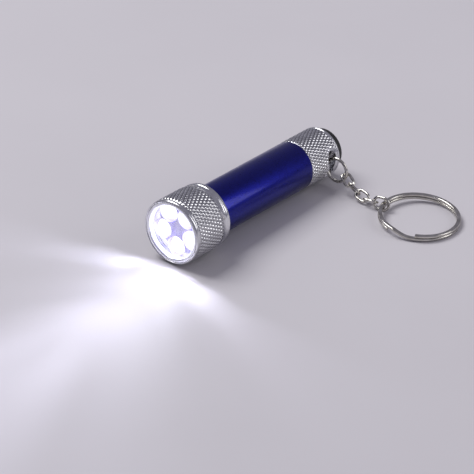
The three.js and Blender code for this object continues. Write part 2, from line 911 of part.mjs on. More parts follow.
keyRing.position.copy(ringHook.clone().addScaledVector(ringAlong, KEY_RING.radius));

// ---------------------------------------------------------------- frame

// The origin is the middle of the bottom of the whole object's box.
model.updateMatrixWorld(true);
const box = new THREE.Box3().setFromObject(model, true);
model.position.set(
  -(box.min.x + box.max.x) / 2,
  -(box.min.y + box.max.y) / 2,
  -box.min.z,
);

export default model;
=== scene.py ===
"""Looks of a keychain flashlight: knurled head with five lit LEDs, barrel, tail cap, chain and key ring."""
import json
import logging
import math
from dataclasses import dataclass, field
from enum import Enum
from typing import Callable, Optional

import bmesh
import bpy
import numpy as np
from mathutils import Matrix


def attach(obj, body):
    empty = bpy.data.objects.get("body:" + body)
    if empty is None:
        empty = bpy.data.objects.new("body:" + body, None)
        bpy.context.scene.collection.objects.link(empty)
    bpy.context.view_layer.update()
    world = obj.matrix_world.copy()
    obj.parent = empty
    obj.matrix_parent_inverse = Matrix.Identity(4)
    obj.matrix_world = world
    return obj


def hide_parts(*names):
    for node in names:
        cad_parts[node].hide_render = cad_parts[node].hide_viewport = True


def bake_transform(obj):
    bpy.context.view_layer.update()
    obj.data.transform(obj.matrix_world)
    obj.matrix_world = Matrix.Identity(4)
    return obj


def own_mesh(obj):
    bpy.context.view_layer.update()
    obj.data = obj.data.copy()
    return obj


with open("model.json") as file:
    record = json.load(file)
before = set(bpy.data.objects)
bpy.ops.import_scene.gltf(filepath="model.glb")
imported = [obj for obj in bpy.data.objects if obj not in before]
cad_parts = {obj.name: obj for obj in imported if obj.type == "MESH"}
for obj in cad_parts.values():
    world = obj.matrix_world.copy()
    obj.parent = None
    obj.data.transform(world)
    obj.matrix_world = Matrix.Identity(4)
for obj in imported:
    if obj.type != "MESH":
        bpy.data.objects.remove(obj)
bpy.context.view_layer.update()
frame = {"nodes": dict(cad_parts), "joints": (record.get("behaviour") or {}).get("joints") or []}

MM = 0.001
TURN = 2 * math.pi
KNURL_SHARP = 40.0
log = logging.getLogger("flashlight")

Cut = tuple[np.ndarray, np.ndarray]


# ---------------------------------------------------------------- frames and surfaces


@dataclass(frozen=True)
class TorchAxis:
    """The torch's own frame: its origin is in the head's front plane and `along` points to the tail."""

    origin: np.ndarray
    along: np.ndarray
    across: np.ndarray
    up: np.ndarray

    @classmethod
    def from_joints(cls, joints: list[dict]) -> "TorchAxis":
        """Reads the frame off the two screwing joints.

        Args:
            joints: the record's joints.
        Returns:
            The frame with its origin on the axis at the head's front.
        """
        named = {joint["name"]: joint for joint in joints}
        along = np.array(named["cap_turn"]["axis"], float)
        across = np.array([0.0, 1.0, 0.0])
        return cls(np.array(named["head_turn"]["pos_m"], float), along, across, np.cross(along, across))

    def point(self, station: float, across: float = 0.0, up: float = 0.0) -> np.ndarray:
        """A point from its millimetres along, across and above the axis, in metres."""
        return self.origin + MM * (station * self.along + across * self.across + up * self.up)

    def turned(self, radius: np.ndarray, station: np.ndarray, angle: np.ndarray) -> np.ndarray:
        """Points at radius and station (mm) and angle: origin + s*along + r*(cos a*across + sin a*up)."""
        radius, station, angle = np.broadcast_arrays(radius, station, angle)
        side = np.cos(angle)[..., None] * self.across + np.sin(angle)[..., None] * self.up
        return self.origin + MM * (station[..., None] * self.along + radius[..., None] * side)


@dataclass
class Grid:
    """A surface sampled on rows and columns, with a plane coordinate in millimetres at each sample.

    Attributes:
        points: rows x columns x 3 positions in metres.
        plane: rows x columns x 2 lengths along and across the surface.
        fields: further numbers at each sample, by attribute name.
    """

    points: np.ndarray
    plane: np.ndarray
    fields: dict[str, np.ndarray] = field(default_factory=dict)


def eased(
    outline: list[tuple[float, float]], radius: float, closed: bool = True, steps: int = 5
) -> np.ndarray:
    """Rounds an outline's corners: corner c becomes (1-u)^2 a + 2u(1-u) c + u^2 b, a and b on its two sides.

    Args:
        outline: corner points.
        radius: how far from the corner the rounding starts.
        closed: whether the last point joins the first; if not, the two ends stay sharp.
        steps: points for each corner.
    Returns:
        The rounded outline as an array of points.
    """
    corner = np.array(outline, float)
    back = np.roll(corner, 1, axis=0) - corner
    ahead = np.roll(corner, -1, axis=0) - corner
    back_length = np.linalg.norm(back, axis=1, keepdims=True)
    ahead_length = np.linalg.norm(ahead, axis=1, keepdims=True)
    start = corner + back / back_length * np.minimum(radius, 0.42 * back_length)
    end = corner + ahead / ahead_length * np.minimum(radius, 0.42 * ahead_length)
    u = np.linspace(0, 1, steps)[None, :, None]
    curve = (1 - u) ** 2 * start[:, None] + 2 * u * (1 - u) * corner[:, None] + u**2 * end[:, None]
    if closed:
        return curve.reshape(-1, 2)
    return np.concatenate([corner[:1], curve[1:-1].reshape(-1, 2), corner[-1:]])


def lathe(
    axis: TorchAxis,
    outline: np.ndarray,
    sides: int,
    relief: Optional[Callable[[np.ndarray, np.ndarray, np.ndarray], Cut]] = None,
) -> Grid:
    """Turns an outline about the torch's axis: point(i, a) = turned(r_i - relief(a, s_i, r_i), s_i, a).

    Args:
        axis: the torch's frame.
        outline: rows of (radius, station).
        sides: columns in one turn.
        relief: gives how far the surface is cut in at each sample, and how deep in a groove it lies (0 to 1).
    Returns:
        The turned surface.
    """
    angle = np.linspace(0, TURN, sides, endpoint=False)[None, :] - math.pi / 2
    radius = np.repeat(outline[:, :1], sides, axis=1)
    station = np.repeat(outline[:, 1:], sides, axis=1)
    cut = np.zeros_like(radius)
    groove = np.zeros_like(radius)
    if relief is not None:
        cut, groove = relief(np.broadcast_to(angle, radius.shape), station, radius)
    step = np.linalg.norm(np.diff(outline, axis=0), axis=1)
    run = np.concatenate([[0.0], np.cumsum(step)])
    around = np.broadcast_to(np.arange(sides)[None, :] / sides, radius.shape)
    girth = TURN * float(outline[:, 0].max())
    plane = np.stack([around * girth, np.broadcast_to(run[:, None], radius.shape)], -1)
    return Grid(axis.turned(radius - cut, station, angle), plane, {"groove": groove})


def swept(path: np.ndarray, normal: np.ndarray, section: np.ndarray, closed: bool = False) -> Grid:
    """Carries a section along a path: point(i, j) = p_i + x_j * (t_i x n_i) + y_j * n_i.

    Args:
        path: points in metres.
        normal: the section's y direction, one for all points or one for each.
        section: rows of (x, y) in metres.
        closed: whether the path joins up.
    Returns:
        The swept surface, with one more ring drawn in at each open end so that its edge is eased.
    """
    if closed:
        tangent = np.roll(path, -1, axis=0) - np.roll(path, 1, axis=0)
    else:
        tangent = np.gradient(path, axis=0)
    tangent /= np.linalg.norm(tangent, axis=1, keepdims=True)
    normal = np.broadcast_to(normal, path.shape)
    normal = normal - (normal * tangent).sum(1, keepdims=True) * tangent
    normal /= np.linalg.norm(normal, axis=1, keepdims=True)
    side = np.cross(tangent, normal)
    scale = np.ones(len(path))
    if not closed:
        edge = np.abs(section).max() * 0.25
        path = np.concatenate([path[:1] - edge * tangent[:1], path, path[-1:] + edge * tangent[-1:]])
        normal = np.concatenate([normal[:1], normal, normal[-1:]])
        side = np.concatenate([side[:1], side, side[-1:]])
        scale = np.concatenate([[0.72], scale, [0.72]])
    spread = section[None, :, :1] * side[:, None] + section[None, :, 1:] * normal[:, None]
    points = path[:, None] + scale[:, None, None] * spread
    run = np.concatenate([[0.0], np.cumsum(np.linalg.norm(np.diff(path, axis=0), axis=1))]) / MM
    girth = np.linalg.norm(section - np.roll(section, -1, axis=0), axis=1).sum() / MM
    across = np.linspace(0, girth, len(section), endpoint=False)
    plane = np.stack(np.broadcast_arrays(across[None, :], run[:, None]), -1)
    return Grid(points, plane, {"groove": np.zeros(points.shape[:2])})


def superellipse(half_width: float, half_height: float, power: float, sides: int) -> np.ndarray:
    """A rounded section in metres: |x/w|^p + |y/h|^p = 1, from its width and height in millimetres."""
    angle = np.linspace(0, TURN, sides, endpoint=False)
    x = np.sign(np.cos(angle)) * np.abs(np.cos(angle)) ** (2 / power) * half_width
    y = np.sign(np.sin(angle)) * np.abs(np.sin(angle)) ** (2 / power) * half_height
    return np.stack([x, y], 1) * MM


class Ends(Enum):
    """How the rows of a grid end."""

    LOOP = "the last row joins the first"
    POLES = "the end rows lie on the axis"
    LIDS = "each end row is filled with one face"


def mesh_of(name: str, grid: Grid, ends: Ends, sharp: float = 35.0) -> bpy.types.Mesh:
    """Makes one closed mesh, faces outwards, from a grid whose columns wrap round.

    Args:
        name: the mesh's name.
        grid: the surface.
        ends: how its rows end.
        sharp: edges bent by more than this many degrees stay sharp.
    Returns:
        The mesh, with a UV map in millimetres and the grid's fields as attributes.
    """
    rows, columns = grid.points.shape[:2]
    last = rows if ends is Ends.LOOP else rows - 1
    i, j = np.meshgrid(np.arange(last), np.arange(columns), indexing="ij")
    below, beside = (i + 1) % rows, (j + 1) % columns
    corner = [i * columns + j, below * columns + j, below * columns + beside, i * columns + beside]
    quads = np.stack(corner, -1)
    faces = quads.reshape(-1, 4).tolist()
    if ends is Ends.LIDS:
        faces += [list(range(columns)), list(range((rows - 1) * columns, rows * columns))]
    mesh = bpy.data.meshes.new(name)
    mesh.from_pydata(grid.points.reshape(-1, 3).tolist(), [], faces)
    girth = grid.plane[..., 0].max() * columns / max(columns - 1, 1)
    across = np.stack([j, j, j + 1, j + 1], -1) / columns * girth
    run = grid.plane[:, 0, 1]
    extended = np.append(run, run[-1] + (run[1] - run[0]))
    down = np.stack([extended[i], extended[i + 1], extended[i + 1], extended[i]], -1)
    corners = np.zeros((len(mesh.loops), 2))
    corners[: quads.size] = np.stack([across.ravel(), down.ravel()], -1)
    layer = mesh.uv_layers.new(name="surface_mm")
    layer.data.foreach_set("uv", corners.astype(np.float32).ravel())
    for key, values in grid.fields.items():
        attribute = mesh.attributes.new(key, "FLOAT", "POINT")
        attribute.data.foreach_set("value", values.astype(np.float32).ravel())
    work = bmesh.new()
    work.from_mesh(mesh)
    bmesh.ops.remove_doubles(work, verts=work.verts, dist=1e-8)
    bmesh.ops.recalc_face_normals(work, faces=work.faces)
    work.to_mesh(mesh)
    work.free()
    soften(mesh, sharp)
    return mesh


def soften(mesh: bpy.types.Mesh, sharp: float) -> None:
    """Shades a mesh smooth, with the edges bent by more than `sharp` degrees left sharp."""
    mesh.shade_smooth()
    mesh.set_sharp_from_angle(angle=math.radians(sharp))


def merged(name: str, meshes: list[bpy.types.Mesh], sharp: float = 35.0) -> bpy.types.Mesh:
    """Joins several closed meshes into one.

    Args:
        name: the new mesh's name.
        meshes: the parts, which are removed.
        sharp: as in mesh_of.
    Returns:
        The joined mesh.
    """
    work = bmesh.new()
    for part in meshes:
        work.from_mesh(part)
        bpy.data.meshes.remove(part)
    mesh = bpy.data.meshes.new(name)
    work.to_mesh(mesh)
    work.free()
    soften(mesh, sharp)
    return mesh


def carved(mesh: bpy.types.Mesh, tools: list[bpy.types.Mesh], sharp: float = 35.0) -> bpy.types.Mesh:
    """Cuts the tools' solids out of a mesh's solid.

    Args:
        mesh: the body, which is removed.
        tools: the cutting solids, which are removed.
        sharp: as in mesh_of.
    Returns:
        The cut mesh.
    """
    collection = bpy.context.scene.collection
    body = bpy.data.objects.new("carved", mesh)
    collection.objects.link(body)
    cutters = [bpy.data.objects.new("tool", tool) for tool in tools]
    for cutter in cutters:
        collection.objects.link(cutter)
        cut = body.modifiers.new("cut", "BOOLEAN")
        cut.object = cutter
        cut.operation = "DIFFERENCE"
        cut.solver = "EXACT"
    bpy.context.view_layer.update()
    made = bpy.data.meshes.new_from_object(body.evaluated_get(bpy.context.evaluated_depsgraph_get()))
    for thing in [body, *cutters]:
        old = thing.data
        bpy.data.objects.remove(thing)
        bpy.data.meshes.remove(old)
    soften(made, sharp)
    return made


# ---------------------------------------------------------------- finishes


class Shader:
    """One material's nodes, with short ways to add and join them."""

    def __init__(self, name: str) -> None:
        """Starts a material with its Principled shader."""
        self.material = bpy.data.materials.new(name)
        self.material.use_nodes = True
        self.nodes = self.material.node_tree.nodes
        self.links = self.material.node_tree.links
        self.surface = self.nodes["Principled BSDF"]

    def set(self, **values: object) -> "Shader":
        """Sets the Principled shader's sockets, with underscores for spaces."""
        for key, value in values.items():
            self.surface.inputs[key.replace("_", " ")].default_value = value
        return self

    def add(self, kind: str, values: Optional[dict] = None, **settings: object) -> bpy.types.Node:
        """Adds a node.

        Args:
            kind: its type without "ShaderNode".
            values: numbers for its inputs, by name or place.
            settings: its own properties.
        Returns:
            The node.
        """
        node = self.nodes.new("ShaderNode" + kind)
        for key, value in settings.items():
            setattr(node, key, value)
        for key, value in (values or {}).items():
            node.inputs[key].default_value = value
        return node

    def join(self, source: object, target: object) -> None:
        """Links an output to an input."""
        self.links.new(source, target)

    def noise(
        self, coordinates: object, scale: float, detail: float = 3.0, stretch: tuple = (1, 1, 1)
    ) -> object:
        """A noise value on stretched coordinates.

        Args:
            coordinates: the vector output to read.
            scale: features per unit.
            detail: octaves.
            stretch: scale along each axis.
        Returns:
            The noise node's value output.
        """
        mapping = self.add("Mapping", {"Scale": stretch})
        self.join(coordinates, mapping.inputs["Vector"])
        texture = self.add("TexNoise", {"Scale": scale, "Detail": detail})
        self.join(mapping.outputs["Vector"], texture.inputs["Vector"])
        return texture.outputs["Fac"]

    def spread(self, value: object, low: float, high: float, start: float = 0.3, stop: float = 0.7) -> object:
        """Maps a value from start..stop to low..high and returns the output."""
        ranged = self.add("MapRange", {"From Min": start, "From Max": stop, "To Min": low, "To Max": high})
        self.join(value, ranged.inputs["Value"])
        return ranged.outputs["Result"]

    def tint(self, factor: object, first: tuple, second: tuple) -> object:
        """A colour between two by a factor, as an output."""
        mix = self.add("Mix", data_type="RGBA")
        mix.inputs[6].default_value = (*first, 1)
        mix.inputs[7].default_value = (*second, 1)
        self.join(factor, mix.inputs[0])
        return mix.outputs[2]

    def bump(self, height: object, distance: float, strength: float = 1.0, under: object = None) -> object:
        """A bumped normal of a height, its distance in millimetres, as an output."""
        node = self.add("Bump", {"Distance": distance * MM, "Strength": strength})
        self.join(height, node.inputs["Height"])
        if under is not None:
            self.join(under, node.inputs["Normal"])
        return node.outputs["Normal"]

    def dress(self, socket: str, value: object) -> None:
        """Links an output to one of the Principled shader's sockets."""
        self.join(value, self.surface.inputs[socket])

    @property
    def place(self) -> object:
        """Object coordinates in metres."""
        return self.add("TexCoord").outputs["Object"]

    @property
    def sheet(self) -> object:
        """The surface's own plane coordinates in millimetres."""
        return self.add("UVMap", uv_map="surface_mm").outputs["UV"]


@dataclass(frozen=True)
class Metal:
    """Bare or plated metal: tool marks round the piece, handling marks, and painted shade in the grooves.

    Attributes:
        name: the material's name.
        light: its colour where it is clean.
        dull: its colour where it has been handled.
        smooth: lowest roughness.
        rough: highest roughness.
        marks: height of the tool marks in micrometres.
        groove_shade: how dark the grooves are painted, as shade, 0 to 1.
        coarse: tool marks for each millimetre.
    """

    name: str
    light: tuple[float, float, float]
    dull: tuple[float, float, float]
    smooth: float = 0.16
    rough: float = 0.32
    marks: float = 4.0
    # Painted shade: how far the grooves' colour is darkened to stand in for the shadow in them.
    groove_shade: float = 0.0
    coarse: float = 7.0

    def material(self, mapped: bool = True) -> bpy.types.Material:
        """Builds the material.

        Args:
            mapped: whether the piece has its own plane coordinates for the tool marks.
        Returns:
            The material.
        """
        shader = Shader(self.name if mapped else self.name + "_plain")
        shader.set(Metallic=1.0, IOR=1.5)
        cloud = shader.noise(shader.place, 420.0, 4.0)
        colour = shader.tint(shader.spread(cloud, 0.0, 1.0), self.dull, self.light)
        if mapped:
            lines = shader.noise(shader.sheet, 1.0, 5.0, (0.0, self.coarse, 0.0))
        else:
            lines = shader.noise(shader.place, 2600.0, 5.0, (1.0, 0.12, 0.12))
        # Painted shade: where the attribute `groove` is high the colour goes towards near black, standing in
        # for the shadow in the grooves.
        if self.groove_shade:
            groove = shader.add("Attribute", attribute_name="groove").outputs["Fac"]
            painted_groove_shade = shader.spread(groove, 0.0, self.groove_shade, 0.45, 1.0)
            mix = shader.add("Mix", data_type="RGBA")
            shader.join(painted_groove_shade, mix.inputs[0])
            shader.join(colour, mix.inputs[6])
            mix.inputs[7].default_value = (0.035, 0.034, 0.036, 1)
            colour = mix.outputs[2]
        shader.dress("Base Color", colour)
        wear = shader.noise(shader.place, 900.0, 5.0)
        shader.dress("Roughness", shader.spread(wear, self.smooth, self.rough, 0.32, 0.68))
        shader.dress("Normal", shader.bump(lines, self.marks * 0.001, 0.9))
        return shader.material


@dataclass(frozen=True)
class Anodised:
    """Dyed and sealed aluminium: a dark metal colour with a fine grain under a clear gloss.

    Attributes:
        name: the material's name.
        deep: the dye's colour.
        pale: the dye where the grain is lighter.
    """

    name: str = "blue_anodised"
    deep: tuple[float, float, float] = (0.004, 0.004, 0.13)
    pale: tuple[float, float, float] = (0.010, 0.014, 0.25)

    def material(self) -> bpy.types.Material:
        """Builds the material, bare metal where the attribute `bare` is 1."""
        shader = Shader(self.name)
        shader.set(IOR=1.5, Coat_Weight=0.3, Coat_Roughness=0.12, Coat_IOR=1.5)
        grain = shader.noise(shader.place, 5200.0, 2.0)
        dyed = shader.tint(shader.spread(grain, 0.0, 1.0), self.deep, self.pale)
        bare = shader.add("Attribute", attribute_name="bare").outputs["Fac"]
        mix = shader.add("Mix", data_type="RGBA")
        shader.join(bare, mix.inputs[0])
        shader.join(dyed, mix.inputs[6])
        mix.inputs[7].default_value = (0.72, 0.73, 0.76, 1)
        shader.dress("Base Color", mix.outputs[2])
        shader.set(Metallic=1.0)
        lines = shader.noise(shader.sheet, 1.0, 4.0, (0.0, 9.0, 0.0))
        scuffs = shader.noise(shader.place, 700.0, 5.0)
        shader.dress("Roughness", shader.spread(scuffs, 0.26, 0.38, 0.3, 0.7))
        fine = shader.bump(grain, 0.004, 0.6)
        shader.dress("Normal", shader.bump(lines, 0.002, 0.7, fine))
        return shader.material


@dataclass(frozen=True)
class Moulded:
    """Plastic, rubber or solder mask: one colour with a fine mould texture and slight dust.

    Attributes:
        name: the material's name.
        colour: its colour.
        dusty: its colour where it is dusty or worn.
        smooth: lowest roughness.
        rough: highest roughness.
        grain: features of the mould texture for each millimetre.
        depth: height of the texture in micrometres.
    """

    name: str
    colour: tuple[float, float, float]
    dusty: tuple[float, float, float]
    smooth: float = 0.38
    rough: float = 0.55
    grain: float = 9.0
    depth: float = 8.0

    def material(self) -> bpy.types.Material:
        """Builds the material."""
        shader = Shader(self.name)
        shader.set(IOR=1.48)
        cloud = shader.noise(shader.place, 380.0, 5.0)
        dust = shader.spread(cloud, 0.0, 1.0, 0.4, 0.75)
        shader.dress("Base Color", shader.tint(dust, self.colour, self.dusty))
        shader.dress("Roughness", shader.spread(cloud, self.smooth, self.rough))
        texture = shader.noise(shader.place, self.grain * 1000.0, 3.0)
        shader.dress("Normal", shader.bump(texture, self.depth * 0.001, 0.8))
        return shader.material


@dataclass(frozen=True)
class ClearLens:
    """Clear moulded plastic: its gloss shows, and its edge carries a painted glow, opaque and emissive,
    standing in for the LEDs' light on it.

    Attributes:
        name: the material's name.
        edge: how bright the painted glow at the edge is.
    """

    name: str = "clear_lens"
    edge: float = 0.9

    def material(self) -> bpy.types.Material:
        """Builds the material from the attribute `glow`, 1 at the edge, with faint wipe marks."""
        shader = Shader(self.name)
        shader.set(Base_Color=(0.93, 0.94, 1.0, 1), IOR=1.49)
        glow = shader.add("Attribute", attribute_name="glow").outputs["Fac"]
        # Painted glow: towards the edge the lens turns opaque and emissive, as if lit by the LEDs.
        shader.dress("Alpha", shader.spread(glow, 0.07, 0.8, 0.0, 1.0))
        shader.dress("Emission Color", shader.tint(glow, (0.45, 0.38, 0.95), (0.93, 0.94, 1.0)))
        shader.dress("Emission Strength", shader.spread(glow, 0.0, self.edge, 0.0, 1.0))
        marks = shader.noise(shader.place, 260.0, 5.0, (1.0, 3.0, 1.0))
        shader.dress("Roughness", shader.spread(marks, 0.02, 0.07))
        return shader.material


@dataclass(frozen=True)
class LedGlow:
    """A lit LED: its epoxy glows, brightest along its own axis and violet at its flange.

    Attributes:
        name: the material's name.
        strength: how bright the middle is.
    """

    name: str = "led_epoxy"
    strength: float = 1.9

    def material(self) -> bpy.types.Material:
        """Builds the material from the attribute `glow`, 1 at the tip and 0 at the flange."""
        shader = Shader(self.name)
        shader.set(Roughness=0.08, IOR=1.53, Base_Color=(0.85, 0.87, 1.0, 1))
        glow = shader.add("Attribute", attribute_name="glow").outputs["Fac"]
        shader.dress("Emission Color", shader.tint(glow, (0.24, 0.17, 0.90), (0.94, 0.96, 1.0)))
        shader.dress("Emission Strength", shader.spread(glow, 0.5, self.strength, 0.0, 1.0))
        ripple = shader.noise(shader.place, 900.0, 2.0)
        shader.dress("Normal", shader.bump(ripple, 0.01, 0.4))
        return shader.material


# ---------------------------------------------------------------- pieces


@dataclass
class Workshop:
    """Puts finished pieces on their bodies and keeps one material for each finish."""

    axis: TorchAxis
    finishes: dict[str, bpy.types.Material] = field(default_factory=dict)

    def finish(self, key: str, make: Callable[[], bpy.types.Material]) -> bpy.types.Material:
        """The material of that key, made once."""
        if key not in self.finishes:
            self.finishes[key] = make()
        return self.finishes[key]

    def mount(
        self, mesh: bpy.types.Mesh, body: str, slot: str, finish: bpy.types.Material, nodes: list[str]
    ) -> bpy.types.Object:
        """Makes a piece of a mesh.

        Args:
            mesh: the finished mesh, in the model's frame.
            body: the body that it rides on.
            slot: the record's material slot; not used.
            finish: its material.
            nodes: the CAD nodes that it stands for.
        Returns:
            The piece.
        """
        mesh.materials.clear()
        mesh.materials.append(finish)
        piece = bpy.data.objects.new(mesh.name, mesh)
        bpy.context.scene.collection.objects.link(piece)
        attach(piece, body)
        if nodes:
            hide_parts(*nodes)
        log.info("%s rides on %s, %d faces", piece.name, body, len(mesh.polygons))
        return piece

    def dress_node(self, node: str, finish: bpy.types.Material) -> None:
        """Gives a carried-over CAD node its material."""
        materials = frame["nodes"][node].data.materials
        materials.clear()
        materials.append(finish)
        log.info("%s keeps its CAD shape", node)


# The last number, 0.88, paints shade into the knurl's grooves.
ALUMINIUM = Metal("bare_aluminium", (0.76, 0.76, 0.78), (0.58, 0.58, 0.60), 0.13, 0.24, 3.0, 0.88)
CHROME = Metal("chrome", (0.90, 0.91, 0.95), (0.80, 0.81, 0.86), 0.04, 0.10, 0.8)
# Painted light: the plating's violet colour stands in for the LEDs' violet light falling on the reflector.
LED_LIT_PLATING = Metal("violet_lit_plating", (0.80, 0.78, 0.97), (0.50, 0.46, 0.90), 0.05, 0.12, 0.8)
NICKEL = Metal("nickel", (0.66, 0.64, 0.60), (0.44, 0.42, 0.38), 0.07, 0.18, 1.5)
BRASS = Metal("brass", (0.80, 0.58, 0.25), (0.62, 0.42, 0.16), 0.18, 0.34, 3.0)
STEEL = Metal("spring_steel", (0.60, 0.60, 0.62), (0.42, 0.42, 0.43), 0.2, 0.36, 3.0)
CAN = Metal("cell_steel", (0.74, 0.75, 0.77), (0.60, 0.61, 0.63), 0.14, 0.26, 2.0)
RUBBER = Moulded("black_rubber", (0.007, 0.007, 0.008), (0.022, 0.022, 0.023), 0.42, 0.62, 10.0, 10.0)
WHITE_PLASTIC = Moulded("white_plastic", (0.80, 0.80, 0.77), (0.70, 0.69, 0.65), 0.35, 0.5, 7.0, 6.0)
BLACK_PLASTIC = Moulded("black_plastic", (0.018, 0.018, 0.02), (0.04, 0.04, 0.042), 0.32, 0.5, 8.0, 6.0)
BOARD = Moulded("board_green", (0.03, 0.19, 0.06), (0.05, 0.26, 0.09), 0.28, 0.42, 5.0, 4.0)


@dataclass(frozen=True)
class Knurl:
    """A diamond knurl: two sets of V grooves that cross.

    Attributes:
        around: diamonds in one turn.
        lead: length of one diamond along the axis, mm.
        depth: depth of the grooves, mm.
        samples: grid steps for each diamond.
    """

    around: int
    lead: float = 2.08
    depth: float = 0.3
    samples: int = 8

    @property
    def sides(self) -> int:
        """Columns in one turn."""
        return self.around * self.samples

    def rows(self, start: float, stop: float) -> np.ndarray:
        """Stations of the rows between two ends of the knurl."""
        return np.arange(start, stop, self.lead / self.samples)

    def crest(self, angle: np.ndarray, station: np.ndarray) -> np.ndarray:
        """How high the metal stands, 1 on a point and 0 in a groove.

        With a = n*angle/turn + s/lead and b = n*angle/turn - s/lead it is (|sin pi a| * |sin pi b|)^0.6.
        """
        turn = self.around * angle / TURN
        first = np.abs(np.sin(math.pi * (turn + station / self.lead)))
        second = np.abs(np.sin(math.pi * (turn - station / self.lead)))
        return (first * second) ** 0.6


@dataclass
class Head:
    """The head: shell, bezel ring, lens, reflector, LEDs and what carries them."""

    shop: Workshop
    radius: float = 9.5
    bore: float = 8.75
    band: float = 9.15
    rear: float = 9.3
    lip: float = 1.15
    knurl_front: float = 1.5
    knurl_back: float = 11.5
    back: float = 14.4
    shoulder: float = 11.45
    mouth: float = 6.83
    knurl: Knurl = Knurl(around=53)
    led_circle: float = 5.2
    led_radius: float = 2.5
    led_flange: float = 2.9
    led_tip: float = 1.95
    led_base: float = 10.2
    well_mouth: float = 2.98
    leds: int = 5

    def relief(self, angle: np.ndarray, station: np.ndarray, radius: np.ndarray) -> Cut:
        """Cuts the knurl into the rows at full radius and bevels its two ends at 45 degrees."""
        knurled = radius > self.radius - 1e-6
        height = self.knurl.crest(angle, station)
        bevel = np.maximum(self.knurl_front + 0.35 - station, station - self.knurl_back + 0.35)
        cut = np.maximum(self.knurl.depth * (1 - height), bevel)
        return np.where(knurled, cut, 0.0), np.where(knurled, 1 - height, 0.0)

    def shell(self) -> None:
        """The knurled shell with its smooth lip in front and turned band behind."""
        rows = self.knurl.rows(self.knurl_front + 0.02, self.knurl_back)
        knurled = np.stack([np.full_like(rows, self.radius), rows], 1)
        plain = eased(
            [
                (self.band, self.knurl_back + 0.02),
                (self.band, self.back - 1.28),
                (self.rear, self.back - 1.14),
                (self.rear, self.back - 0.22),
                (self.rear - 0.25, self.back),
                (self.mouth, self.back),
                (self.mouth, self.shoulder),
                (self.bore, self.shoulder),
                (self.bore, 0.22),
                (self.bore + 0.2, 0.0),
                (self.radius - 0.42, 0.0),
                (self.radius - 0.1, 0.34),
                (self.radius - 0.1, self.lip - 0.1),
                (self.band, self.lip + 0.1),
                (self.band, self.knurl_front - 0.02),
            ],
            0.16,
            closed=False,
        )
        grid = lathe(self.shop.axis, np.concatenate([knurled, plain]), self.knurl.sides, self.relief)
        finish = self.shop.finish("aluminium", ALUMINIUM.material)
        mesh = mesh_of("head_shell_turned", grid, Ends.LOOP, KNURL_SHARP)
        self.shop.mount(mesh, "head", "bare_aluminium", finish, ["head_shell"])

    def bezel(self) -> None:
        """The bright ring in the mouth."""
        outline = eased([(7.9, 0.3), (8.15, 0.1), (8.7, 0.1), (8.7, 0.7), (7.9, 0.7)], 0.1)
        finish = self.shop.finish("chrome", CHROME.material)
        mesh = mesh_of("bezel_ring_turned", lathe(self.shop.axis, outline, 160), Ends.LOOP)
        self.shop.mount(mesh, "head", "chrome", finish, ["bezel_ring"])

    def lens(self) -> None:
        """The clear lens, and the rubber ring behind it."""
        front = [(0, 0.75), (7.3, 0.75), (7.8, 0.75), (8.7, 0.75)]
        outline = eased([*front, (8.7, 1.65), (7.8, 1.65), (7.3, 1.65), (0, 1.65)], 0.12, closed=False)
        grid = lathe(self.shop.axis, outline, 128)
        # Painted glow: the attribute is 1 on the lens's outer edge, which the material makes shine as if lit
        # by the LEDs.
        lit = np.clip((outline[:, 0] - 7.3) / 0.5, 0, 1)
        grid.fields["glow"] = np.repeat(lit[:, None], 128, axis=1)
        mesh = mesh_of("lens_moulded", grid, Ends.POLES)
        self.shop.mount(mesh, "head", "clear_lens", self.shop.finish("lens", ClearLens().material), ["lens"])
        ring = eased([(8.14, 1.73), (8.68, 1.73), (8.68, 2.27), (8.14, 2.27)], 0.24)
        mesh = mesh_of("lens_seal_moulded", lathe(self.shop.axis, ring, 128), Ends.LOOP)
        finish = self.shop.finish("rubber", RUBBER.material)
        self.shop.mount(mesh, "head", "black_rubber", finish, ["lens_seal"])

    def led_axis(self, index: int) -> TorchAxis:
        """The frame of one LED, parallel to the torch's own; the last LED is the lowest."""
        axis = self.shop.axis
        angle = (index + 1) / self.leds * TURN - math.pi / 2
        offset = self.led_circle * MM * (math.cos(angle) * axis.across + math.sin(angle) * axis.up)
        return TorchAxis(axis.origin + offset, axis.along, axis.across, axis.up)

    def reflector(self) -> None:
        """The plated block with one flared well for each LED."""
        back = 6.95
        outline = [(0, 2.6), (7.7, 2.6), (8.15, 2.35), (8.7, 2.35), (8.7, back), (0, back)]
        body = eased(outline, 0.12, closed=False)
        block = mesh_of("reflector_plated", lathe(self.shop.axis, body, 128), Ends.POLES)
        hole = self.led_radius + 0.05
        flare = np.linspace(0, 1, 9)
        wall = np.stack([self.well_mouth + (hole - self.well_mouth) * flare**1.6, 2.55 + 2.3 * flare], 1)
        well = np.concatenate([[(0, 1.3), (self.well_mouth, 1.3)], wall, [(hole, back + 1), (0, back + 1)]])
        tools = [
            mesh_of(f"well_{index}", lathe(self.led_axis(index), well, 64), Ends.POLES)
            for index in range(self.leds)
        ]
        # The plating's violet colour is painted LED light.
        finish = self.shop.finish("plating", LED_LIT_PLATING.material)
        self.shop.mount(carved(block, tools, sharp=30), "head", "chrome", finish, ["reflector"])

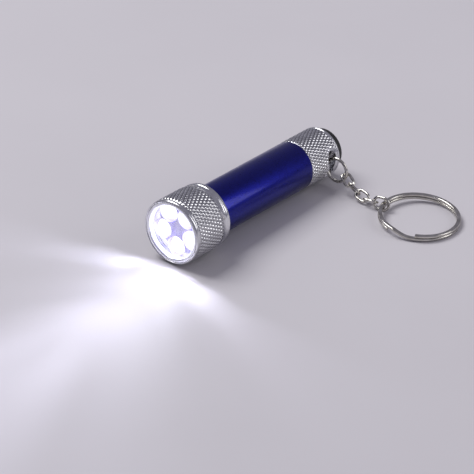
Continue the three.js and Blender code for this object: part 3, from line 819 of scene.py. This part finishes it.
    def led(self, index: int) -> None:
        """One LED: dome, body, flange and two square legs."""
        axis = self.led_axis(index)
        angle = np.linspace(0, math.pi / 2, 14)
        height = self.led_tip + self.led_radius * (1 - np.cos(angle))
        dome = np.stack([self.led_radius * np.sin(angle), height], 1)
        stem = eased(
            [
                (self.led_radius, 5.0),
                (self.led_radius, self.led_base - 0.9),
                (self.led_flange, self.led_base - 0.9),
                (self.led_flange, self.led_base),
                (0, self.led_base),
            ],
            0.1,
            closed=False,
        )
        grid = lathe(axis, np.concatenate([dome, stem]), 48)
        station = np.concatenate([dome, stem])[:, 1:]
        glow = np.clip((self.led_base - 2.5 - station) / 4.0, 0, 1)
        glow[: len(dome)] *= 1 - 0.25 * (dome[:, :1] / self.led_radius) ** 6
        glow[len(dome) :] *= 0.75
        grid.fields = {"glow": np.repeat(glow, 48, axis=1)}
        parts = [mesh_of(f"led_{index + 1}_epoxy", grid, Ends.POLES)]
        turn = (index + 1) / self.leds * TURN
        for side in (-1.0, 1.0):
            offset = side * 1.27 * np.array([math.cos(turn), math.sin(turn)])
            base = axis.point(0, *offset)
            path = base + MM * np.linspace(self.led_base - 0.4, 11.9, 6)[:, None] * axis.along
            normal = axis.up * math.cos(turn) - axis.across * math.sin(turn)
            leg = swept(path, normal, superellipse(0.2, 0.2, 8, 16))
            leg.fields = {"glow": np.zeros(leg.points.shape[:2])}
            parts.append(mesh_of("leg", leg, Ends.LIDS))
        mesh = merged(f"led_{index + 1}_moulded", parts)
        finish = self.shop.finish("led", LedGlow().material)
        self.shop.mount(mesh, "head", "led_epoxy", finish, [f"led_{index + 1}"])

    def board(self) -> None:
        """Dresses what stands behind the reflector."""
        self.shop.dress_node("led_spacer", self.shop.finish("white", WHITE_PLASTIC.material))
        self.shop.dress_node("led_board", self.shop.finish("board", BOARD.material))
        self.shop.dress_node("board_contact", self.shop.finish("brass", lambda: BRASS.material(False)))
        self.shop.dress_node("resistor", self.shop.finish("black", BLACK_PLASTIC.material))

    def build(self) -> None:
        """Makes the whole head."""
        self.shell()
        self.bezel()
        self.lens()
        self.reflector()
        for index in range(self.leds):
            self.led(index)
        self.board()


@dataclass
class Barrel:
    """The anodised barrel with its two threads, its seals and what it holds."""

    shop: Workshop
    radius: float = 7.2
    front: float = 14.45
    back: float = 53.95
    thread: float = 6.75
    thread_depth: float = 0.32
    pitch: float = 1.25
    tube_front: float = 11.6
    tube_back: float = 58.85
    seal_room: float = 0.26

    def relief(self, angle: np.ndarray, station: np.ndarray, radius: np.ndarray) -> Cut:
        """Cuts the threads: depth times a rounded V of the fraction of (s/pitch - angle/turn)."""
        threaded = np.abs(radius - self.thread) < 1e-6
        phase = station / self.pitch - angle / TURN
        valley = np.clip(1.6 * (0.5 + 0.5 * np.cos(TURN * phase)) - 0.3, 0, 1)
        ends = np.minimum(
            np.minimum(np.abs(station - self.tube_front), np.abs(station - self.tube_back)) / 0.5,
            np.minimum(np.abs(station - self.front), np.abs(station - self.back)) / 0.35,
        )
        cut = self.thread_depth * valley * np.clip(ends, 0, 1)
        return np.where(threaded, cut, 0.0), np.where(threaded, valley, 0.0)

    def threaded(self, start: float, stop: float) -> np.ndarray:
        """Rows of a threaded stretch."""
        rows = np.arange(start, stop, self.pitch / 14)
        return np.stack([np.full_like(rows, self.thread), rows], 1)

    def tube(self) -> None:
        """The tube, bare on its threads and on the thin bevel at its tail end."""
        groove = 6.38
        front_seal, back_seal = self.front - 0.6, self.back + 0.6
        room = self.seal_room
        front = eased(
            [
                (self.thread - 0.01, front_seal - room - 0.02),
                (groove, front_seal - room),
                (groove, front_seal + room),
                (self.thread - 0.01, front_seal + room),
                (self.thread - 0.01, self.front),
                (self.radius, self.front),
                (self.radius, self.back - 0.2),
                (self.radius - 0.22, self.back),
                (self.thread - 0.01, self.back),
                (self.thread - 0.01, back_seal - room),
                (groove, back_seal - room),
                (groove, back_seal + room),
                (self.thread - 0.01, back_seal + room + 0.02),
            ],
            0.06,
            closed=False,
        )
        front_bore, step = 5.75, 15.4
        inside = eased(
            [
                (6.5, self.tube_back),
                (6.1, self.tube_back),
                (6.1, step),
                (front_bore, step),
                (front_bore, self.tube_front),
                (6.5, self.tube_front),
            ],
            0.08,
            closed=False,
        )
        outline = np.concatenate(
            [
                self.threaded(self.tube_front + 0.15, front_seal - room - 0.05),
                front,
                self.threaded(back_seal + room + 0.08, self.tube_back - 0.15),
                inside,
            ]
        )
        grid = lathe(self.shop.axis, outline, 160, self.relief)
        radius, station = outline[:, 0], outline[:, 1]
        skin = (radius > self.radius - 0.04) & (station < self.back - 0.16)
        grid.fields["bare"] = np.repeat(np.where(skin, 0.0, 1.0)[:, None], 160, axis=1)
        mesh = mesh_of("barrel_anodised", grid, Ends.LOOP, sharp=34)
        finish = self.shop.finish("blue", Anodised().material)
        self.shop.mount(mesh, "torch", "blue_anodised", finish, ["tube"])

    def seals(self) -> None:
        """The two rubber rings in their grooves."""
        finish = self.shop.finish("rubber", RUBBER.material)
        for node, station in (("head_seal", self.front - 0.6), ("tail_seal", self.back + 0.6)):
            ring = [(6.4, station - 0.2), (6.78, station - 0.2), (6.78, station + 0.2), (6.4, station + 0.2)]
            mesh = mesh_of(node + "_moulded", lathe(self.shop.axis, eased(ring, 0.18), 128), Ends.LOOP)
            self.shop.mount(mesh, "torch", "black_rubber", finish, [node])

    def cells(self) -> None:
        """Dresses the sleeve, the cells and the two springs."""
        self.shop.dress_node("battery_sleeve", self.shop.finish("white", WHITE_PLASTIC.material))
        for index in range(4):
            self.shop.dress_node(f"cell_{index + 1}", self.shop.finish("can", lambda: CAN.material(False)))
        for node in ("front_spring", "tail_spring"):
            self.shop.dress_node(node, self.shop.finish("steel", lambda: STEEL.material(False)))

    def build(self) -> None:
        """Makes the whole barrel."""
        self.tube()
        self.seals()
        self.cells()


@dataclass
class TailCap:
    """The knurled tail cap, its drilled hole, the switch inside and the rubber boot."""

    shop: Workshop
    radius: float = 7.3
    front: float = 54.0
    back: float = 66.3
    knurl_back: float = 65.45
    bore: float = 6.83
    seat: float = 6.8
    seat_floor: float = 65.1
    web_front: float = 60.3
    web_bore: float = 2.1
    hole: tuple[float, float, float] = (62.9, -5.35, -1.4)
    drills: tuple[tuple[float, float, float], ...] = ((1.75, 30, 1.0), (1.45, 22, -1.0))
    patch: tuple[float, float] = (63.7, 5.0)
    knurl: Knurl = Knurl(around=43, lead=2.03, depth=0.27)
    spring_foot: float = 55.323
    spring_rise: float = 1.92
    spring_radius: float = 2.5
    spring_wire: float = 0.35
    spring_turns: int = 4
    spring_keep: float = 0.46

    def relief(self, angle: np.ndarray, station: np.ndarray, radius: np.ndarray) -> Cut:
        """Cuts the knurl, bevels its ends, and leaves a smooth spot on the bridge beside the hole.

        With q = ((s - s0)/2.2)^4 + (arc/4.2)^4, arc being the distance round from the spot's middle, the
        share of plain metal is 1.6 - 1.2*q, held between 0 and 1.
        """
        knurled = radius > self.radius - 1e-6
        height = self.knurl.crest(angle, station)
        bevel = np.maximum(self.front + 0.3 - station, station - self.knurl_back + 0.25)
        middle = math.pi - math.radians(self.patch[1])
        arc = self.radius * (np.mod(angle - middle + math.pi, TURN) - math.pi)
        inside = ((station - self.patch[0]) / 2.2) ** 4 + (arc / 4.2) ** 4
        plain = np.clip(1.6 - 1.2 * inside, 0, 1)
        cut = np.maximum(self.knurl.depth * ((1 - height) * (1 - plain) + 0.62 * plain), bevel * 0.8)
        return np.where(knurled, cut, 0.0), np.where(knurled, (1 - height) * (1 - plain), 0.0)

    def drill(self, radius: float, lean: float, upward: float) -> bpy.types.Mesh:
        """A drilling from the meeting point outwards.

        Args:
            radius: its radius, mm.
            lean: degrees from straight up or down towards the chain's side.
            upward: 1 for the upper drilling, -1 for the lower.
        Returns:
            The solid to cut away.
        """
        axis = self.shop.axis
        angle = math.radians(lean)
        way = -math.sin(angle) * axis.across + upward * math.cos(angle) * axis.up
        start = axis.point(*self.hole)
        path = start + MM * np.linspace(-0.55 * radius, 8.0, 9)[:, None] * way
        return mesh_of("drill", swept(path, axis.along, superellipse(radius, radius, 2, 48)), Ends.LIDS)

    def shell(self) -> None:
        """The knurled cap with the two drillings that meet under the bridge."""
        rows = self.knurl.rows(self.front + 0.04, self.knurl_back)
        knurled = np.stack([np.full_like(rows, self.radius), rows], 1)
        rim = self.radius - 0.16
        plain = eased(
            [
                (rim, self.knurl_back + 0.03),
                (self.radius - 0.05, self.knurl_back + 0.14),
                (self.radius - 0.05, self.back - 0.24),
                (self.radius - 0.27, self.back),
                (self.seat, self.back),
                (self.seat, self.seat_floor),
                (self.web_bore, self.seat_floor),
                (self.web_bore, self.web_front),
                (self.bore, self.web_front),
                (self.bore, self.front),
                (self.radius - 0.3, self.front),
            ],
            0.1,
            closed=False,
        )
        grid = lathe(self.shop.axis, np.concatenate([knurled, plain]), self.knurl.sides, self.relief)
        body = mesh_of("tail_cap_turned", grid, Ends.LOOP, KNURL_SHARP)
        mesh = carved(body, [self.drill(*drill) for drill in self.drills], KNURL_SHARP)
        mesh.name = "tail_cap_turned"
        finish = self.shop.finish("aluminium", ALUMINIUM.material)
        self.shop.mount(mesh, "cap", "bare_aluminium", finish, ["tail_cap"])

    def boot(self) -> None:
        """One rubber boot in one piece, its foot in the cap and its dome over the button.

        The dome is radius = outer * cos(a)^0.4 and station = foot + (top - foot) * sin(a)^0.4.
        """
        foot, top, outer = 66.35, 69.6, 6.28
        angle = np.linspace(0.0, math.pi / 2, 22)
        crown = np.stack([outer * np.cos(angle) ** 0.4, foot + (top - foot) * np.sin(angle) ** 0.4], 1)
        crown[-1, 0] = 0.0
        under = [(0, 68.0), (2.3, 68.0), (2.3, 68.7), (4.28, 68.7), (5.38, 67.8), (5.4, 66.1), (5.45, 65.15)]
        seat = [(6.75, 65.15), (6.75, 66.0), (6.45, 66.18), (6.28, 66.3)]
        outline = np.concatenate([eased(under + seat, 0.2, closed=False), crown])
        mesh = mesh_of("boot_moulded", lathe(self.shop.axis, outline, 96), Ends.POLES, sharp=50)
        mesh.materials.clear()
        mesh.materials.append(self.shop.finish("rubber", RUBBER.material))
        piece = bpy.data.objects.new(mesh.name, mesh)
        bpy.context.scene.collection.objects.link(piece)
        axis = self.shop.axis
        tuple(axis.point(65.7))
        tuple(axis.point(68.0))
        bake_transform(piece)
        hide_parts("button_boot", "boot_base")
        log.info("boot_moulded bends between cap and button")

    def switch(self) -> None:
        """Dresses the switch's pieces."""
        for node in ("switch_retainer", "contact_rivet", "moving_contact"):
            self.shop.dress_node(node, self.shop.finish("brass", lambda: BRASS.material(False)))
        for node in ("switch_housing", "switch_cover"):
            self.shop.dress_node(node, self.shop.finish("black", BLACK_PLASTIC.material))
        self.shop.dress_node("switch_plunger", self.shop.finish("white", WHITE_PLASTIC.material))

    def spring(self) -> None:
        """The return spring: point(t) = turned(radius, foot + rise*t, turns*t)."""
        axis = self.shop.axis
        share = np.linspace(0, 1, 160)
        half = self.spring_wire / 2
        station = self.spring_foot + half + self.spring_rise * share
        path = axis.turned(np.array(self.spring_radius), station, self.spring_turns * TURN * share)
        coil = swept(path, axis.along, superellipse(half, half, 2, 12))
        mesh = mesh_of("switch_spring_wire", coil, Ends.LIDS)
        finish = self.shop.finish("coil", STEEL.material)
        piece = self.shop.mount(mesh, "cap", "spring_steel", finish, ["switch_spring"])
        way, foot = tuple(axis.along), tuple(axis.point(self.spring_foot))
        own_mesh(piece)

    def build(self) -> None:
        """Makes the whole tail cap."""
        self.shell()
        self.boot()
        self.switch()
        self.spring()


@dataclass(frozen=True)
class LinkSize:
    """One chain link in millimetres, and how far it is rolled from standing on edge, degrees."""

    roll: float
    length: float = 5.0
    width: float = 3.4
    wire: float = 0.8


@dataclass
class Chain:
    """The jump ring, the chain links and the split key ring."""

    shop: Workshop
    joints: dict[str, dict]
    ring_radius: float = 3.5
    ring_wire: float = 0.9
    ring_seam: float = -20.0
    ring_centre: tuple[float, float, float] = (62.9, -8.8, -1.6)
    gap: float = 0.1
    links: tuple[LinkSize, ...] = (
        LinkSize(75),
        LinkSize(150),
        LinkSize(50),
        LinkSize(120),
        LinkSize(15, 5.6, 4.2),
    )
    key_radius: float = 11.05
    key_wide: float = 1.2
    key_thick: float = 0.85
    key_gap: float = 0.06
    key_heading: float = 10.0
    key_start: float = 155.0
    key_ramp: float = 33.0
    key_margin: float = 4.0

    def jump_ring(self) -> None:
        """A round wire ring, its two ends meeting at the bottom."""
        axis = self.shop.axis
        start = math.radians(self.ring_seam) + self.gap / self.ring_radius / 2 + 0.03
        angle = np.linspace(start, start + TURN - self.gap / self.ring_radius - 0.06, 120)[:, None]
        path = axis.point(*self.ring_centre) + MM * self.ring_radius * (
            np.sin(angle) * axis.across - np.cos(angle) * axis.up
        )
        section = superellipse(self.ring_wire / 2, self.ring_wire / 2, 2, 24)
        mesh = mesh_of("jump_ring_wire", swept(path, axis.along, section), Ends.LIDS)
        self.shop.mount(mesh, "jump", "nickel", self.shop.finish("nickel", NICKEL.material), ["jump_ring"])

    def link(self, index: int, size: LinkSize) -> None:
        """One link: a wire round a stadium of two straights and two half circles.

        Args:
            index: its place in the chain.
            size: its sizes.
        """
        hook = np.array(self.joints[f"link_{index + 1}_swing"]["pos_m"])
        following = f"link_{index + 2}_swing" if index + 1 < len(self.links) else "key_ring_swing"
        along = np.array(self.joints[following]["pos_m"]) - hook
        along /= np.linalg.norm(along)
        before = self.ring_wire if index == 0 else self.links[index - 1].wire
        inset = before / 2 + size.wire / 2 + self.gap
        centre = hook + MM * ((size.length - size.wire) / 2 - inset) * along
        level = np.cross([0, 0, 1], along)
        level /= np.linalg.norm(level)
        roll = math.radians(size.roll)
        width = math.cos(roll) * np.cross(along, level) + math.sin(roll) * level
        bend = (size.width - size.wire) / 2
        straight = (size.length - size.wire) / 2 - bend
        seam = 0.16
        half = np.linspace(-math.pi / 2, math.pi / 2, 22)
        turn = np.stack([straight + bend * np.cos(half), bend * np.sin(half)], 1)
        first = np.linspace([seam, -bend], [straight, -bend], 5)[:-1]
        top = np.linspace([straight, bend], [-straight, bend], 8)[1:-1]
        last = np.linspace([-straight, -bend], [-seam, -bend], 5)[1:]
        flat = np.concatenate([first, turn, top, -turn, last])
        path = centre + MM * (flat[:, :1] * along + flat[:, 1:] * width)
        section = superellipse(size.wire / 2, size.wire / 2, 2, 20)
        wire = swept(path, np.cross(along, width), section)
        mesh = mesh_of(f"chain_link_{index + 1}_wire", wire, Ends.LIDS)
        finish = self.shop.finish("nickel", NICKEL.material)
        self.shop.mount(mesh, f"link_{index + 1}", "nickel", finish, [f"chain_link_{index + 1}"])

    def key_ring(self) -> None:
        """The split ring: a lower turn, a short climb, and an upper turn over it, of flat wire.

        point(t) = centre + r*(cos a*x - sin a*y) + h*z, with x level, y along and z upright, a = start - t
        and h = rise*(c*c*(3 - 2*c) - 1/2), where c = (t - lower)/ramp, held between 0 and 1.
        """
        hook = np.array(self.joints["key_ring_swing"]["pos_m"])
        heading = math.radians(self.key_heading)
        half = (self.key_thick + self.key_gap / 2) * MM
        slope = -math.atan2(hook[2] - half, 2 * self.key_radius * MM)
        flat = math.cos(slope)
        along = np.array([flat * math.sin(heading), -flat * math.cos(heading), math.sin(slope)])
        level = np.cross([0, 0, 1], along)
        level /= np.linalg.norm(level)
        upright = np.cross(along, level)
        centre = hook + MM * self.key_radius * along
        lower = 360 - self.key_ramp - self.key_margin
        whole = lower + 360 - 2 * self.key_margin
        turn = np.linspace(0.6, whole - 0.6, 360)
        climb = np.clip((turn - lower) / self.key_ramp, 0, 1)
        height = (self.key_thick + self.key_gap) * (climb * climb * (3 - 2 * climb) - 0.5)
        angle = np.radians(self.key_start - turn)[:, None]
        path = centre + MM * (
            self.key_radius * (np.cos(angle) * level - np.sin(angle) * along) + height[:, None] * upright
        )
        section = superellipse(self.key_wide / 2, self.key_thick / 2, 3.2, 28)
        mesh = mesh_of("split_ring_wire", swept(path, upright, section), Ends.LIDS)
        finish = self.shop.finish("nickel", NICKEL.material)
        self.shop.mount(mesh, "key_ring", "nickel", finish, ["split_ring"])

    def build(self) -> None:
        """Makes the whole chain."""
        self.jump_ring()
        for index, size in enumerate(self.links):
            self.link(index, size)
        self.key_ring()


# ---------------------------------------------------------------- stage


@dataclass
class Studio:
    """Floor, lights and camera.

    Attributes:
        axis: the torch's frame.
        camera_place: where the camera stands.
        camera_right: the camera's right.
        camera_up: the camera's up.
        view_angle: its horizontal field of view, degrees.
        light_colour: the LEDs' light.
        middle: the object's middle.
        level_right: the level direction to the camera's right.
        level_away: the level direction away from the camera.
        rim_cone: cone of each light thrown out sideways, degrees.
        rim_turn: how far the sideways lights are turned from the chain's side, degrees.
        ahead: cone, power, turn and dip of each light in the beam straight ahead.
    """

    axis: TorchAxis
    camera_place: tuple[float, float, float] = (-0.67100, -0.49938, 0.50040)
    camera_right: tuple[float, float, float] = (0.62768, -0.77811, 0.02371)
    camera_up: tuple[float, float, float] = (0.38766, 0.33883, 0.85727)
    view_angle: float = 7.711
    light_colour: tuple[float, float, float] = (0.82, 0.83, 1.0)
    middle: tuple[float, float, float] = (-0.0212, 0.0096, 0.005)
    level_right: tuple[float, float, float] = (0.7776, -0.6288, 0.0)
    level_away: tuple[float, float, float] = (0.6288, 0.7776, 0.0)
    rim_cone: float = 30
    rim_turn: float = -3
    ahead: tuple[tuple[float, float, float, float], ...] = (
        (120, 0.041, -3, 0),
        (70, 0.105, -10, -4),
        (50, 0.13, 4, 0),
        (50, 0.09, -12, 0),
        (30, 0.6, -10, 0),
        (30, 0.5, 4, 0),
    )

    def floor(self) -> None:
        """A wide pale floor, very slightly mottled."""
        reach = 3.0
        grid = np.array([[-reach, -reach, 0], [reach, -reach, 0], [reach, reach, 0], [-reach, reach, 0]])
        mesh = bpy.data.meshes.new("floor")
        mesh.from_pydata(grid.tolist(), [], [[0, 1, 2, 3]])
        shader = Shader("floor_pale")
        cloud = shader.noise(shader.place, 14.0, 3.0)
        tint = shader.tint(shader.spread(cloud, 0, 1), (0.562, 0.54, 0.568), (0.582, 0.56, 0.588))
        shader.dress("Base Color", tint)
        shader.set(Roughness=0.5, IOR=1.4)
        mesh.materials.append(shader.material)
        floor = bpy.data.objects.new("floor", mesh)
        bpy.context.scene.collection.objects.link(floor)

    def world(self) -> None:
        """Soft even light from all round."""
        world = bpy.data.worlds.new("studio")
        world.use_nodes = True
        world.node_tree.nodes["Background"].inputs["Color"].default_value = (0.76, 0.74, 0.90, 1)
        world.node_tree.nodes["Background"].inputs["Strength"].default_value = 0.33
        bpy.context.scene.world = world

    def aimed(self, light: bpy.types.Light, place: np.ndarray, target: np.ndarray) -> bpy.types.Object:
        """Hangs a light at a place, turned to a target."""
        lamp = bpy.data.objects.new(light.name, light)
        bpy.context.scene.collection.objects.link(lamp)
        back = np.asarray(place, float) - np.asarray(target, float)
        back /= np.linalg.norm(back)
        side = np.cross([0, 0, 1], back)
        side = side / np.linalg.norm(side) if np.linalg.norm(side) > 1e-6 else np.array([1.0, 0, 0])
        basis = np.eye(4)
        basis[:3, 0], basis[:3, 1], basis[:3, 2], basis[:3, 3] = side, np.cross(back, side), back, place
        lamp.matrix_world = Matrix(basis.tolist())
        return lamp

    def panel(
        self, name: str, offset: tuple[float, float, float], size: tuple[float, float], power: float
    ) -> None:
        """A soft white rectangular light.

        Args:
            name: its name.
            offset: its place right of, away from and above the object's middle, in metres.
            size: its width and height.
            power: watts.
        """
        light = bpy.data.lights.new(name, "AREA")
        light.shape = "RECTANGLE"
        light.size, light.size_y = size
        light.energy = power
        middle = np.array(self.middle)
        right, away = np.array(self.level_right), np.array(self.level_away)
        place = middle + offset[0] * right + offset[1] * away + np.array([0, 0, offset[2]])
        self.aimed(light, place, middle)

    def beam(self, name: str, cone: float, power: float, turn: float, dip: float) -> None:
        """Light that leaves the lens.

        Args:
            name: its name.
            cone: full cone in degrees, soft to its middle.
            power: watts.
            turn: degrees that it points away from the chain's side.
            dip: degrees that it points below the torch's axis.
        """
        light = bpy.data.lights.new(name, "SPOT")
        light.spot_size = math.radians(cone)
        light.spot_blend = 1.0
        light.energy = power
        light.color = self.light_colour
        light.shadow_soft_size = 0.0015
        place = self.axis.point(-0.5)
        level, swing = math.radians(dip), math.radians(turn)
        way = (
            -math.cos(level) * math.cos(swing) * self.axis.along
            + math.cos(level) * math.sin(swing) * self.axis.across
            - math.sin(level) * self.axis.up
        )
        self.aimed(light, place, place + way)

    def glow(self) -> None:
        """The lit LEDs' light: what the reflector's rim throws out sideways, and the beam straight ahead."""
        for roll in range(-100, 101, 20):
            for lean, power in ((70, 0.036 if roll < 0 else 0.0255), (60, 0.015)):
                out, way = math.radians(lean), math.radians(roll)
                turn = math.degrees(math.atan2(math.sin(out) * math.sin(way), math.cos(out))) + self.rim_turn
                dip = math.degrees(math.asin(math.sin(out) * math.cos(way)))
                self.beam(f"rim_{lean}_{roll + 100}", self.rim_cone, power, turn, dip)
        for index, (cone, power, turn, dip) in enumerate(self.ahead):
            self.beam(f"ahead_{index + 1}", cone, power, turn, dip)

    def camera(self) -> None:
        """The camera that the picture is taken with."""
        data = bpy.data.cameras.new("camera")
        data.sensor_fit = "HORIZONTAL"
        data.angle = math.radians(self.view_angle)
        data.clip_start, data.clip_end = 0.01, 20.0
        camera = bpy.data.objects.new("camera", data)
        bpy.context.scene.collection.objects.link(camera)
        right, up = np.array(self.camera_right), np.array(self.camera_up)
        basis = np.eye(4)
        basis[:3, 0], basis[:3, 1], basis[:3, 2] = right, up, np.cross(right, up)
        basis[:3, 3] = self.camera_place
        camera.matrix_world = Matrix(basis.tolist())
        bpy.context.scene.camera = camera

    def build(self) -> None:
        """Sets up the whole stage."""
        bpy.context.scene.view_settings.view_transform = "Standard"
        self.floor()
        self.world()
        self.panel("key", (-0.49, 0.49, 1.05), (0.7, 0.7), 12.4)
        self.panel("fill", (0.55, -0.15, 0.35), (0.25, 0.5), 1.0)
        self.glow()
        self.camera()


def main() -> None:
    """Builds every sub-assembly and the stage."""
    logging.basicConfig(level=logging.INFO, format="%(name)s: %(message)s")
    axis = TorchAxis.from_joints(frame["joints"])
    shop = Workshop(axis)
    named = {joint["name"]: joint for joint in frame["joints"]}
    for assembly in (Head(shop), Barrel(shop), TailCap(shop), Chain(shop, named), Studio(axis)):
        assembly.build()
        log.info("%s done", type(assembly).__name__)


if __name__ == "__main__":
    main()
